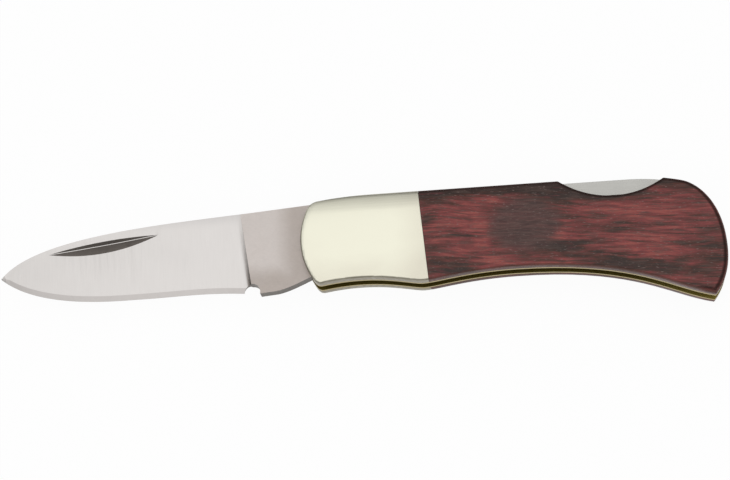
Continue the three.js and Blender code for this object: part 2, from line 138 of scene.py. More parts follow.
# A length in metres that counts as none.
NO_LENGTH = 1e-6

# Height of a face's normal above which it is a flat, and below which it is a wall.
FLAT_NORMAL = 0.94
WALL_NORMAL = 0.62


# Colours and nodes


# Settings that several nodes share.
ADD = {"operation": "ADD"}
SUBTRACT = {"operation": "SUBTRACT"}
MULTIPLY = {"operation": "MULTIPLY"}
MULTIPLY_ADD = {"operation": "MULTIPLY_ADD"}
MAXIMUM = {"operation": "MAXIMUM"}
SCALE = {"operation": "SCALE"}
HELD = {"use_clamp": True}
SMOOTH = {"interpolation_type": "SMOOTHSTEP"}
STRETCH = {"vector_type": "TEXTURE"}
COLOURS = {"data_type": "RGBA"}
RIM_MARK = {"attribute_name": "rim"}
EDGE_MARK = {"attribute_name": "edge"}

# A Mix node's sockets when it mixes colours.
SHARE = 0
FIRST = 6
SECOND = 7

# Nearly all values of a noise lie between these.
NOISE_LOW = 0.3
NOISE_HIGH = 0.7


def linear(hex_colour):
    """A colour written as sRGB hex, as the linear RGBA that shaders take."""
    channels = [int(hex_colour[i:i + 2], 16) / 255 for i in (1, 3, 5)]
    return tuple(
        c / 12.92 if c <= 0.04045 else ((c + 0.055) / 1.055) ** 2.4 for c in channels
    ) + (1.0,)


def fill_sockets(tree, node, sockets):
    """Fills input sockets, each with a number, a hex colour, an output or a node.

    Sockets are named or numbered in a dictionary, or given in their order as a list. A node
    stands for the first output that it has in use.
    """
    pairs = sockets.items() if isinstance(sockets, dict) else enumerate(sockets)
    for key, value in pairs:
        socket = node.inputs[key]
        if isinstance(value, bpy.types.Node):
            value = next(output for output in value.outputs if output.enabled)
        if isinstance(value, bpy.types.NodeSocket):
            tree.links.new(value, socket)
        elif isinstance(value, str):
            socket.default_value = linear(value)[:len(socket.default_value)]
        else:
            socket.default_value = value


def add_node(tree, kind, settings=None, sockets=()):
    """Adds a node of a kind, with its settings and its sockets filled."""
    node = tree.nodes.new("ShaderNode" + kind)
    for name, value in (settings or {}).items():
        setattr(node, name, value)
    fill_sockets(tree, node, sockets)
    return node


def new_material(name):
    """An empty node material: its tree, its shader and its place in millimetres."""
    material = bpy.data.materials.new(name)
    material.use_nodes = True
    tree = material.node_tree
    tree.nodes.clear()
    shader = add_node(tree, "BsdfPrincipled")
    add_node(tree, "OutputMaterial", None, [shader])
    metres = add_node(tree, "TexCoord").outputs["Object"]
    place = add_node(tree, "VectorMath", SCALE, {0: metres, "Scale": 1 / MM})
    return material, tree, shader, place


# Metals

# How ground metal is shaded: the share of its lines beside its patches, how ragged the
# second colour's border is, and how far the roughness swings.
LINE_SHARE = 0.6
SHADE_AND_WEAR_RAGGED = 0.7
ROUGHNESS_SWING = 0.05


def ground_metal(
    name, colour, line_spacing, roughness, contrast, depth, blotch=7.0, wall=None, shade_and_wear=None,
):
    """A metal ground in one direction: lines of a spacing, and slow uneven patches.

    The lines' spacing, the patches' and the depth are in millimetres. Walls, where the mark
    named rim is 1, may be given another colour, partly their grind and partly painted shade.
    The second colour, given with the limits along X and along Y between which it comes in, is
    painted shade on the blade and the tang, and the cleaner brass behind the oil on the liners.
    """
    material, tree, shader, place = new_material(name)
    lines, patches = (
        add_node(tree, "TexNoise", None, {
            "Vector": add_node(tree, "Mapping", STRETCH, {"Vector": place, "Scale": spacing}),
            "Scale": 1.0, "Detail": detail, "Roughness": fineness,
        })
        for spacing, detail, fineness in (
            (line_spacing, 4.0, 0.6), ((blotch, blotch, blotch), 2.0, 0.5),
        )
    )
    shade = add_node(tree, "Math", ADD, [
        add_node(tree, "Math", MULTIPLY, [lines, LINE_SHARE]),
        add_node(tree, "Math", MULTIPLY, [patches, 1.0 - LINE_SHARE]),
    ])
    base = colour
    # On the blade and the tang this lays painted shade: darker towards the spine, and by the
    # bolster and low on the tang. On the liners it is the cleaner brass behind the oil.
    if shade_and_wear:
        shade_and_wear_colour, along, across = shade_and_wear
        parts = add_node(tree, "SeparateXYZ", None, [place]).outputs
        centred = add_node(tree, "Math", SUBTRACT, [patches, 0.5])
        uneven = add_node(tree, "Math", MULTIPLY, [centred, SHADE_AND_WEAR_RAGGED])
        behind = add_node(tree, "MapRange", SMOOTH, [parts["X"], *along])
        below = add_node(tree, "MapRange", SMOOTH, [parts["Y"], *across])
        share = add_node(tree, "Math", MAXIMUM | HELD, [
            add_node(tree, "Math", ADD, [behind, uneven]),
            add_node(tree, "Math", ADD, [below, uneven]),
        ])
        base = add_node(tree, "Mix", COLOURS, {SHARE: share, FIRST: base, SECOND: shade_and_wear_colour})
    # Walls get their own colour, partly their grind and partly painted shade.
    if wall:
        rim = add_node(tree, "Attribute", RIM_MARK).outputs["Fac"]
        base = add_node(tree, "Mix", COLOURS, {SHARE: rim, FIRST: base, SECOND: wall})
    tone = add_node(tree, "MapRange", None, [
        shade, NOISE_LOW, NOISE_HIGH, 1.0 - contrast, 1.0 + contrast,
    ])
    polish = add_node(tree, "MapRange", None, [
        shade, NOISE_LOW, NOISE_HIGH, roughness + ROUGHNESS_SWING, roughness - ROUGHNESS_SWING,
    ])
    fill_sockets(tree, shader, {
        "Metallic": 1.0,
        "Base Color": add_node(tree, "VectorMath", SCALE, {0: base, "Scale": tone}),
        "Roughness": polish,
        "Normal": add_node(tree, "Bump", None, {
            "Strength": 1.0, "Distance": depth * MM, "Height": lines,
        }),
    })
    return material


def satin_blade_steel(looks):
    """Stainless blade steel, ground flat and satin polished from spine to edge: very pale."""
    # Its spine side is darker: painted shade.
    return ground_metal(
        "satin_blade_steel", looks.blade_colour, line_spacing=(0.16, 5.0, 5.0),
        roughness=0.32, contrast=0.022, depth=0.0005, wall=looks.blade_wall_finish_and_shade,
        shade_and_wear=(looks.blade_spine_shade_colour, (20.0, 30.0), (4.0, 7.0)),
    )


def tang_steel(looks):
    """The same steel left unground on the tang: darker and matt, with painted shade by the
    bolster.
    """
    return ground_metal(
        "unground_tang_steel", looks.tang_colour, line_spacing=(0.5, 0.3, 2.0),
        roughness=0.40, contrast=0.035, depth=0.0008, blotch=3.0,
        wall=looks.tang_wall_finish_and_shade,
        shade_and_wear=(looks.tang_shade_colour, (-14.5, -9.5), (-2.5, -6.5)),
    )


def honed_steel(looks):
    """The narrow bevel of the cutting edge, honed coarser than the grind: a greyer band."""
    return ground_metal(
        "honed_edge_steel", looks.edge_colour, line_spacing=(0.12, 1.0, 1.0),
        roughness=0.36, contrast=0.025, depth=0.0005, wall=looks.blade_wall_finish_and_shade,
    )


def stamped_steel(looks):
    """The nail nick's stamped facets, left dark from the press."""
    return ground_metal(
        "stamped_nick_steel", looks.nick_colour, line_spacing=(4.0, 0.25, 0.5),
        roughness=0.45, contrast=0.12, depth=0.001,
    )


def bar_steel(looks):
    """Lock bar, spacer and pin steel, ground along the knife: grey satin."""
    return ground_metal(
        "satin_bar_steel", looks.bar_colour, line_spacing=(6.0, 0.14, 0.14),
        roughness=0.36, contrast=0.04, depth=0.0008,
    )


def spring_steel(looks):
    """Hardened spring steel, oiled: a dull grey."""
    return ground_metal(
        "hardened_spring_steel", looks.spring_colour, line_spacing=(5.0, 0.2, 0.2),
        roughness=0.45, contrast=0.05, depth=0.001,
    )


def liner_brass(looks):
    """Sheet brass, its edges ground flush and gone dull: thin yellow lines."""
    return ground_metal(
        "dull_liner_brass", looks.brass_colour, line_spacing=(3.0, 0.12, 0.12),
        roughness=0.4, contrast=0.08, depth=0.001, blotch=4.0,
    )


def oiled_brass(looks):
    """The liners' flat faces: dark with old oil where the blade rubs, cleaner behind it."""
    nowhere = (40.0, 41.0)
    return ground_metal(
        "oiled_liner_brass", looks.brass_oiled_colour, line_spacing=(3.0, 0.3, 0.3),
        roughness=0.5, contrast=0.1, depth=0.001, blotch=4.0,
        shade_and_wear=(looks.brass_inner_colour, (44.0, 64.0), nowhere),
    )


# The bolsters' uneven blotches and the grinding lines on their walls: spacing and depth in
# millimetres.
BLOTCH_SPACING = (9.0, 5.0, 5.0)
WALL_LINES_SPACING = (3.5, 0.15, 0.15)
WALL_LINES_DEPTH = 0.001

# Where the bolsters' faces turn darker along X and Y, in millimetres, and its share before and
# after.
DARKER_BEHIND = (7.0, 15.0, 0.0, 0.75)
DARKER_BELOW = (-1.0, -9.0, 0.0, 0.6)
DARKER_SWING = 0.12

# Roughness of the polished face, and what walls have more.
POLISH_ROUGHNESS = (0.17, 0.13)
WALL_ROUGHER = 0.22


def nickel_silver(looks):
    """Nickel silver polished on its face and only ground on its rim and walls.

    A warm white mirror, darker towards the joint and the belt. Its rim and walls are darker,
    partly from the grind and partly painted shade, which also gives the dark line along the
    spine. The mark named rim is 0 on the face, 1 on walls.
    """
    material, tree, shader, place = new_material("polished_nickel_silver")
    rim = add_node(tree, "Attribute", RIM_MARK).outputs["Fac"]
    blotches, lines = (
        add_node(tree, "TexNoise", None, {
            "Vector": add_node(tree, "Mapping", STRETCH, {"Vector": place, "Scale": spacing}),
            "Scale": 1.0, "Detail": detail,
        })
        for spacing, detail in ((BLOTCH_SPACING, 2.0), (WALL_LINES_SPACING, 3.0))
    )
    parts = add_node(tree, "SeparateXYZ", None, [place]).outputs
    behind = add_node(tree, "MapRange", SMOOTH, [parts["X"], *DARKER_BEHIND])
    below = add_node(tree, "MapRange", SMOOTH, [parts["Y"], *DARKER_BELOW])
    uneven = add_node(tree, "MapRange", SMOOTH, [
        blotches, NOISE_LOW, NOISE_HIGH, -DARKER_SWING, DARKER_SWING,
    ])
    # The face turns darker towards the joint and the belt, with ragged borders.
    darker_share = add_node(tree, "Math", ADD | HELD, [
        add_node(tree, "Math", ADD, [behind, below]), uneven,
    ])
    face = add_node(tree, "Mix", COLOURS, {
        SHARE: darker_share, FIRST: looks.bolster_colour, SECOND: looks.bolster_darker_colour,
    })
    # Wall colour: partly the grind, partly painted shade.
    wall = add_node(tree, "Mix", COLOURS, {
        SHARE: add_node(tree, "MapRange", SMOOTH, [lines, NOISE_LOW, NOISE_HIGH]),
        FIRST: looks.bolster_wall_lines_and_shade, SECOND: looks.bolster_wall_finish_and_shade,
    })
    polish = add_node(tree, "MapRange", SMOOTH, [
        blotches, NOISE_LOW, NOISE_HIGH, *POLISH_ROUGHNESS,
    ])
    coarser = add_node(tree, "Math", MULTIPLY, [rim, WALL_ROUGHER])
    fill_sockets(tree, shader, {
        "Metallic": 1.0,
        "Base Color": add_node(tree, "Mix", COLOURS, {SHARE: rim, FIRST: face, SECOND: wall}),
        "Roughness": add_node(tree, "Math", ADD, [polish, coarser]),
        "Normal": add_node(tree, "Bump", None, {
            "Strength": 1.0, "Distance": WALL_LINES_DEPTH * MM,
            "Height": add_node(tree, "Math", MULTIPLY, [lines, rim]),
        }),
    })
    return material


# Wood

# Figure of the laminated wood, where the face cuts through its dyed veneers: middle and
# reach in millimetres, turn in degrees, and how much redder or blacker that place is.
WOOD_FIGURE = [
    ("brown by the bolster", (14.4, 1.2), (1.6, 7.0), 0, -0.12),
    ("red before the core", (19.0, 0.5), (4.6, 6.5), 0, 0.14),
    ("black front corner", (17.5, -6.9), (7.0, 2.1), -4, -0.30),
    ("black at the top corner", (15.5, 7.2), (4.0, 1.7), -2, -0.36),
    ("black along the spine", (27.0, 8.6), (24.0, 2.7), 0, -0.84),
    ("black under the scallop", (41.0, 5.6), (12.0, 1.6), -6, -0.62),
    ("dark before the tail", (49.5, 4.5), (9.0, 1.7), -4, -0.26),
    ("black over the core's end", (35.5, 4.0), (5.0, 2.2), -4, -0.24),
    ("red under the tail", (54.0, 1.4), (12.5, 2.4), -4, 0.30),
    ("black streak under it", (47.6, -1.2), (6.5, 0.8), -4, -0.24),
    ("long red streak", (53.6, -4.0), (10.0, 1.0), -4, 0.30),
    ("lower red streak", (53.2, -6.2), (9.0, 1.0), -4, 0.36),
    ("black behind the core", (37.9, -4.7), (6.0, 1.9), -4, -0.36),
    ("red under the core's end", (36.7, -7.1), (5.0, 0.8), -4, 0.14),
    ("black belt", (53.0, -8.8), (13.5, 1.7), -10, -0.46),
    ("black at the shoulder", (58.5, 6.2), (5.0, 1.5), -12, -0.52),
    ("grey at the butt", (64.5, -6.6), (4.0, 4.2), 0, -0.30),
    ("red heel", (60.5, -12.4), (4.0, 1.2), -20, 0.10),
    ("red under the core", (27.5, -5.9), (4.4, 1.2), -8, 0.24),
    ("red over the core", (25.0, 5.2), (3.4, 1.0), 0, 0.08),
    ("red left of the core", (23.8, -0.5), (1.9, 5.4), 4, 0.26),
]
FIGURE_FADE = (0.4, 1.2)
CORE_MIDDLE = (31.8, 0.2)
CORE_REACH = (7.4, 6.0)
CORE_FADE = (0.62, 1.05)
CORE_SHARE = 0.85

# How far the streaks fray the figure's outlines, and the slow sway of all grain, in
# millimetres.
RAGGED = (4.0, 0.5)
SWAY = (0.0, 1.8, 0.0)
SWAY_SPACING = (13.0, 7.0, 7.0)

# Middle of the scale from black to red, and how much each grain moves a place along it.
WOOD_LEVEL = 0.60
GRAIN_WEIGHTS = (("bands", 0.7), ("streaks", 1.9), ("fibres", 0.6))
CHECK_WEIGHT = -0.28

# Limits of a grain's noise between which it comes in, and its share before and after them.
CHECKS = (0.58, 0.68)
GREYED = (0.48, 0.68, 0.0, 0.55)
WINE = (0.30, 0.46, 0.42, 0.0)
FLECKS = (0.65, 0.73, 0.0, 0.5)
CORE_FIBRES = (0.38, 0.62)

# Share of the fibres in the grain of the grey oval.
FIBRE_SHARE = 0.6

# Where the rounded rim gets painted shade, in millimetres, above the belt and at the butt, and
# how much of their colours the painted shade and the walls lay over the dyes.
RIM_SHADE_ABOVE = (-6.5, -5.0)
RIM_SHADE_BEHIND = (60.5, 63.0)
RIM_SHADE_SHARE = 0.85
WALL_SHARE = 0.7

# Gloss and roughness of the buffed face, how much rougher a dull place is, and how dull are
# the walls, between two places along X, and the rim with painted shade.
WOOD_GLOSS = 0.32
WOOD_ROUGHNESS = (0.34, 0.24)
DULL_ROUGHER = 0.35
WALL_DULL = (44.0, 58.0, 0.45, 0.15)
SHADED_RIM_DULL = 0.6

# Depth of the fibres, in millimetres, and a reach that has no end.
FIBRE_DEPTH = 0.003
ENDLESS = 1e4


def figure_spot(tree, ragged, middle, reach, degrees=0.0):
    """How far a place is from a spot of the figure: 0 in its middle, 1 at its rim."""
    spot = add_node(tree, "Mapping", STRETCH, {
        "Vector": ragged,
        "Location": (middle[0] + RAGGED[0] / 2, middle[1] + RAGGED[1] / 2, 0),
        "Rotation": (0, 0, math.radians(degrees)),
        "Scale": (*reach, ENDLESS),
    })
    return add_node(tree, "VectorMath", {"operation": "LENGTH"}, [spot])


def wood_grain(tree, looks, place):
    """The grains of the wood, from slow bands to pores, each a noise drawn out along it.

    Each has its spacing in millimetres along, across and through the wood.
    """
    streak = looks.streak_spacing / MM
    grains = {}
    for name, spacing, detail, roughness, distortion, more_turn in (
        ("bands", (streak * 7.0, streak * 0.9, 1.6), 1.0, 0.5, 0.0, 0.0),
        ("streaks", (streak * 3.6, streak * 0.42, 0.8), 3.5, 0.62, 0.2, 0.0),
        ("fibres", (2.2, 0.12, 0.3), 2.0, 0.6, 0.0, 0.0),
        ("checks", (streak * 4.5, streak * 0.22, 0.6), 1.5, 0.5, 0.0, 0.0),
        ("greyed", (streak * 2.4, streak * 0.3, 0.8), 2.0, 0.6, 0.0, 0.02),
        ("pores", (0.8, 0.16, 0.4), 1.0, 0.5, 0.0, 0.0),
    ):
        along = add_node(tree, "Mapping", STRETCH, {
            "Vector": place, "Rotation": (0, 0, looks.grain_turn + more_turn), "Scale": spacing,
        })
        grains[name] = add_node(tree, "TexNoise", None, {
            "Vector": along, "Scale": 1.0, "Detail": detail, "Roughness": roughness,
            "Distortion": distortion,
        })
    return grains


def laminated_wood(looks):
    """Birch veneers dyed red and black, pressed with resin and buffed to a soft shine.

    The face runs nearly along the veneers, so each one comes out as ragged streaks, and as
    a grey oval with red beside it where the sheets bulge.
    """
    material, tree, shader, place = new_material("dyed_laminated_wood")
    sway = add_node(tree, "TexNoise", None, {
        "Vector": add_node(tree, "Mapping", STRETCH, {"Vector": place, "Scale": SWAY_SPACING}),
        "Scale": 1.0, "Detail": 1.0,
    })
    swayed = add_node(tree, "VectorMath", MULTIPLY_ADD, [sway, SWAY, place])
    grains = wood_grain(tree, looks, swayed)
    level = add_node(tree, "MapRange", SMOOTH, [
        grains["checks"], *CHECKS, WOOD_LEVEL, WOOD_LEVEL + CHECK_WEIGHT,
    ])
    for name, weight in GRAIN_WEIGHTS:
        swing = add_node(tree, "Math", MULTIPLY_ADD, [grains[name], weight, -weight / 2])
        level = add_node(tree, "Math", ADD, [level, swing])
    ragged = add_node(tree, "VectorMath", MULTIPLY_ADD, [grains["streaks"], (*RAGGED, 0), place])
    for _, middle, reach, degrees, weight in WOOD_FIGURE:
        away = figure_spot(tree, ragged, middle, reach, degrees)
        nearby = add_node(tree, "MapRange", SMOOTH, [away, *FIGURE_FADE, weight, 0.0])
        level = add_node(tree, "Math", ADD, [level, nearby])
    dyes = [
        (0.08, looks.wood_black), (0.27, looks.wood_dark), (0.40, looks.wood_brown),
        (0.52, looks.wood_maroon), (0.64, looks.wood_brick), (0.80, looks.wood_red),
        (0.98, looks.wood_orange),
    ]
    wood = add_node(tree, "ValToRGB", None, [level])
    stops = wood.color_ramp.elements
    while len(stops) < len(dyes):
        stops.new(0.5)
    for stop, (position, dye) in zip(stops, dyes):
        stop.position = position
        stop.color = linear(dye)

    # The grey oval, whose own fibres are dark and pale.
    fine = add_node(tree, "Math", ADD, [
        add_node(tree, "Math", MULTIPLY, [grains["fibres"], FIBRE_SHARE]),
        add_node(tree, "Math", MULTIPLY, [grains["greyed"], 1.0 - FIBRE_SHARE]),
    ])
    core = add_node(tree, "Mix", COLOURS, {
        SHARE: add_node(tree, "MapRange", SMOOTH, [fine, *CORE_FIBRES]),
        FIRST: looks.core_dark, SECOND: looks.core_light,
    })
    in_core = figure_spot(tree, ragged, CORE_MIDDLE, CORE_REACH)

    # Walls, and the rounded rim with painted shade.
    parts = add_node(tree, "SeparateXYZ", None, [place]).outputs
    rim = add_node(tree, "Attribute", RIM_MARK).outputs["Fac"]
    rim_shade_zone = add_node(tree, "Math", MAXIMUM, [
        add_node(tree, "MapRange", SMOOTH, [parts["Y"], *RIM_SHADE_ABOVE]),
        add_node(tree, "MapRange", SMOOTH, [parts["X"], *RIM_SHADE_BEHIND]),
    ])
    near_edge = add_node(tree, "Attribute", EDGE_MARK).outputs["Fac"]
    rounded = add_node(tree, "Math", MULTIPLY, [near_edge, rim_shade_zone])
    flat = add_node(tree, "MapRange", SMOOTH, [rim, 0.0, 1.0, RIM_SHADE_SHARE, 0.0])

    # Colours laid over the dyes, one after the other.
    for share, colour in (
        (add_node(tree, "MapRange", SMOOTH, [grains["greyed"], *GREYED]), looks.wood_grey),
        (add_node(tree, "MapRange", SMOOTH, [grains["greyed"], *WINE]), looks.wood_wine),
        (add_node(tree, "MapRange", SMOOTH, [in_core, *CORE_FADE, CORE_SHARE, 0.0]), core),
        (add_node(tree, "MapRange", SMOOTH, [grains["pores"], *FLECKS]), looks.wood_fleck),
        (add_node(tree, "Math", MULTIPLY, [rounded, flat]), looks.wood_rim_shade),
        (add_node(tree, "Math", MULTIPLY, [rim, WALL_SHARE]), looks.wood_wall),
    ):
        wood = add_node(tree, "Mix", COLOURS, {SHARE: share, FIRST: wood, SECOND: colour})

    # Walls and the rim with painted shade shine less than the buffed face.
    wall_dull = add_node(tree, "MapRange", SMOOTH, [parts["X"], *WALL_DULL])
    dull = add_node(tree, "Math", MAXIMUM, [
        add_node(tree, "Math", MULTIPLY, [rim, wall_dull]),
        add_node(tree, "Math", MULTIPLY, [rounded, SHADED_RIM_DULL]),
    ])
    buffed = add_node(tree, "MapRange", SMOOTH, [
        grains["fibres"], NOISE_LOW, NOISE_HIGH, *WOOD_ROUGHNESS,
    ])
    fill_sockets(tree, shader, {
        "Base Color": wood,
        "Specular IOR Level": add_node(tree, "Math", MULTIPLY_ADD, [
            dull, -WOOD_GLOSS, WOOD_GLOSS,
        ]),
        "Roughness": add_node(tree, "Math", MULTIPLY_ADD, [dull, DULL_ROUGHER, buffed]),
        "Normal": add_node(tree, "Bump", None, {
            "Strength": 1.0, "Distance": FIBRE_DEPTH * MM, "Height": grains["fibres"],
        }),
    })
    return material


# Shapes

# Vertices nearer than this, in millimetres, are joined, faces that turn less than this, in
# degrees, are one flat, and a vertex this near to a cut, in metres, is on it.
JOIN_NEAR = 0.012
FLAT_TURN = 0.05
CUT_NEAR = 1e-8


def joined_copy(node_name, whole_flats=True):
    """A bmesh of a CAD node's mesh, its loose triangles joined and its flats made whole."""
    shape = bmesh.new()
    shape.from_mesh(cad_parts[node_name].data)
    bmesh.ops.remove_doubles(shape, verts=shape.verts, dist=JOIN_NEAR * MM)
    if whole_flats:
        bmesh.ops.dissolve_limit(
            shape, angle_limit=math.radians(FLAT_TURN), verts=shape.verts, edges=shape.edges,
        )
    return shape


def cut_across(shape, axis, start, stop, step):
    """Cuts the shape by evenly spaced planes across an axis, so that its faces can bend."""
    normal = Vector((axis == 0, axis == 1, axis == 2))
    count = int((stop - start) / step)
    for i in range(1, count):
        point = normal * (start + i * step)
        bmesh.ops.bisect_plane(
            shape, geom=shape.verts[:] + shape.edges[:] + shape.faces[:], dist=CUT_NEAR,
            plane_co=point, plane_no=normal,
        )


def soften_edges(shape, width, sharp_degrees, segments=2, where=None, clamp=True):
    """Rounds the edges that are sharper than an angle, and returns the faces made there."""
    sharp = [
        edge for edge in shape.edges
        if edge.is_manifold and edge.calc_face_angle() > math.radians(sharp_degrees)
        and (where is None or where(edge))
    ]
    made = bmesh.ops.bevel(
        shape, geom=sharp, offset=width, offset_type="OFFSET", segments=segments,
        profile=0.5, affect="EDGES", material=-1, clamp_overlap=clamp,
    )
    return made["faces"]


def mark_rim(mesh):
    """Marks each point by how far its face turns from the flat: 1 on walls, 0 on flats."""
    marks = mesh.attributes.new("rim", "FLOAT", "POINT")
    for vertex, mark in zip(mesh.vertices, marks.data):
        flatness = abs(vertex.normal.z)
        turned = (FLAT_NORMAL - flatness) / (FLAT_NORMAL - WALL_NORMAL)
        mark.value = min(1.0, max(0.0, turned))


def finish_piece(name, shape, materials, body, nodes, smooth_degrees=SHADE_SHARP):
    """Makes a bmesh an object of the knife that stands for CAD nodes and rides on a body."""
    mesh = bpy.data.meshes.new(name)
    shape.normal_update()
    shape.to_mesh(mesh)
    shape.free()
    mesh.shade_smooth()
    mesh.set_sharp_from_angle(angle=math.radians(smooth_degrees))
    for material in materials:
        mesh.materials.append(material)
    mark_rim(mesh)
    piece = bpy.data.objects.new(name, mesh)
    bpy.context.scene.collection.objects.link(piece)
    weighted = piece.modifiers.new("even shading", "WEIGHTED_NORMAL")
    weighted.mode = "FACE_AREA"
    weighted.keep_sharp = True
    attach(piece, body)
    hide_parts(*nodes)
    return piece


# Properties


def colour_property(name, description, hex_colour):
    """A colour that a user may change, kept as sRGB hex text."""
    return bpy.props.StringProperty(name=name, description=description, default=hex_colour)


class KnifeLooks(bpy.types.PropertyGroup):
    """Finishes, painted shades and small sizes of the knife."""

    blade_colour: colour_property("Blade", "Satin blade steel", "#e2dedb")
    blade_spine_shade_colour: colour_property("Blade, spine side", "Ground less", "#d4d0ce")
    # Wall colours: partly the walls' own grind, partly painted shade.
    blade_wall_finish_and_shade: colour_property("Blade walls", "Its spine and choil", "#a39e99")
    tang_wall_finish_and_shade: colour_property("Tang walls", "Unground kick of the tang, with painted shade", "#5f5953")
    tang_colour: colour_property("Tang", "Unground steel of the tang", "#d8d0cb")
    tang_shade_colour: colour_property("Tang, shaded", "Painted shade by the bolster", "#beb4ad")
    edge_colour: colour_property("Edge", "Honed bevel of the cutting edge", "#cec9c6")
    nick_colour: colour_property("Nail nick", "Stamped facets of the nail nick", "#6e6863")
    bar_colour: colour_property("Lock bar", "Satin steel of the lock bar", "#c4c3be")
    spring_colour: colour_property("Spring", "Hardened spring steel", "#85878a")
    brass_colour: colour_property("Liners", "Dull brass of the liners", "#ac9c6c")
    brass_oiled_colour: colour_property("Liners, oiled", "Their faces in the slot", "#6f612c")
    brass_inner_colour: colour_property("Liners, inside", "Faces behind the blade", "#9a8c48")
    bolster_colour: colour_property("Bolster", "Polished nickel silver", "#f2f0dd")
    bolster_darker_colour: colour_property("Bolster, darker", "Towards the joint and the belt", "#e0dbca")
    bolster_wall_finish_and_shade: colour_property("Bolster wall", "Ground nickel silver, with painted shade", "#989284")
    bolster_wall_lines_and_shade: colour_property("Bolster wall, dark", "Grinding lines, with painted shade", "#7c7564")
    wood_black: colour_property("Wood, black", "Blackest veneer", "#33241f")
    wood_dark: colour_property("Wood, dark", "Black veneer sanded thin", "#45261d")
    wood_brown: colour_property("Wood, brown", "Where the two dyes meet", "#562e26")
    wood_maroon: colour_property("Wood, maroon", "Dull red veneer", "#622f2b")
    wood_brick: colour_property("Wood, brick", "Red veneer sanded thin", "#723532")
    wood_red: colour_property("Wood, red", "Reddest veneer", "#823b39")
    wood_orange: colour_property("Wood, orange", "Where the red dye is thin", "#944a43")
    core_dark: colour_property("Core, dark", "Dark fibres of the grey oval", "#3e2a28")
    core_light: colour_property("Core, light", "Pale fibres of the grey oval", "#5c443f")
    wood_fleck: colour_property("Wood, flecks", "Resin in the pores", "#8a7a75")
    wood_grey: colour_property("Wood, grey", "Veneers that took little dye", "#54403a")
    wood_wine: colour_property("Wood, wine", "Veneers with more blue in their red", "#6b3034")
    wood_rim_shade: colour_property("Wood, rim", "Rounded rim, painted shade", "#241410")
    wood_wall: colour_property("Wood, walls", "Edges of the veneers", "#553b34")
    streak_spacing: bpy.props.FloatProperty(
        name="Streak spacing", description="Distance from streak to streak",
        default=1.6 * MM, min=0.2 * MM, max=10 * MM, subtype="DISTANCE", unit="LENGTH",
    )
    grain_turn: bpy.props.FloatProperty(
        name="Grain turn", description="Turn of the grain from the handle's length",
        default=math.radians(-4.5), min=math.radians(-45), max=math.radians(45),
        subtype="ANGLE", unit="ROTATION",
    )
    face_fall: bpy.props.FloatProperty(
        name="Face fall", description="How far the handle's faces fall towards their rims",
        default=0.07 * MM, min=0, max=0.3 * MM, subtype="DISTANCE", unit="LENGTH",
    )
    bolster_rim_fall: bpy.props.FloatProperty(
        name="Bolster rim fall", description="How far buffing lowered the bolsters' rims",
        default=0.10 * MM, min=0, max=0.3 * MM, subtype="DISTANCE", unit="LENGTH",
    )
    scale_rim_fall: bpy.props.FloatProperty(
        name="Scale rim fall", description="How far buffing lowered the scales' rims",
        default=0.05 * MM, min=0, max=0.3 * MM, subtype="DISTANCE", unit="LENGTH",
    )
    nick_highlight_ridge: bpy.props.FloatProperty(
        name="Nick highlight", description="Half the width of the bright line in the nail nick",
        default=0.06 * MM, min=0.01 * MM, max=0.2 * MM, subtype="DISTANCE", unit="LENGTH",
    )
    edge_round: bpy.props.FloatProperty(
        name="Edge round", description="Rounding of the edges that hands touch",
        default=0.06 * MM, min=0.01 * MM, max=0.2 * MM, subtype="DISTANCE", unit="LENGTH",
    )


class KnifeStage(bpy.types.PropertyGroup):
    """Floor, light and camera."""

    floor_colour: colour_property("Floor", "Pale floor", "#fdfdfd")
    white_share: bpy.props.FloatProperty(
        name="White share", description="How much of the floor is the white backdrop's glow",
        default=0.94, min=0, max=1, subtype="FACTOR",
    )
    sky_light: bpy.props.FloatProperty(
        name="Sky", description="Strength of the soft light from all round", default=1.0, min=0,
    )
    camera_distance: bpy.props.FloatProperty(
        name="Camera distance", description="From the camera to the middle of the view",
        default=0.35, min=0.1, subtype="DISTANCE", unit="LENGTH",
    )
    lens: bpy.props.FloatProperty(
        name="Lens", description="Focal length", default=95.33, min=10,
        subtype="DISTANCE_CAMERA", unit="CAMERA",
    )


# Operators

made_materials = {}


def material_of(make):
    """The material that a function makes, made once and then shared."""
    looks = bpy.context.scene.knife_looks
    if make.__name__ not in made_materials:
        made_materials[make.__name__] = make(looks)
    return made_materials[make.__name__]


class KNIFE_OT_blade(bpy.types.Operator):
    """Makes the blade: satin grind, honed edge, plain tang and dark nail nick"""

    bl_idname = "knife.blade"
    bl_label = "Blade"

    def execute(self, context):
        looks = context.scene.knife_looks
        shape = joined_copy("blade", whole_flats=False)
        for face in shape.faces:
            face.material_index = blade_finish(face)
        highlight_ridge = soften_edges(
            shape, looks.nick_highlight_ridge, NICK_SHARP, segments=1, where=in_nick_bottom, clamp=False,
        )
        # The rounded bottom line gets the bright satin steel instead of the dark stamped steel:
        # partly a painted highlight, partly the light its rounding catches.
        for face in highlight_ridge:
            face.material_index = GRIND
        soften_edges(
            shape, looks.edge_round * BLADE_ROUND, PIECE_SHARP,
            where=lambda edge: all(face.material_index != NICK for face in edge.link_faces),
        )
        finish_piece(
            "ground_blade", shape,
            [material_of(m) for m in (satin_blade_steel, tang_steel, honed_steel, stamped_steel)],
            "blade", ["blade"], smooth_degrees=BLADE_SHADE_SHARP,
        )
        return {"FINISHED"}


# How the normals of the blade's faces point: its spine's more than this up, and its honed
# bevel's between these off the sides and at least this far down.
SPINE_NORMAL = 0.6
EDGE_NORMALS = (0.95, 0.993)
EDGE_DOWN = -0.1


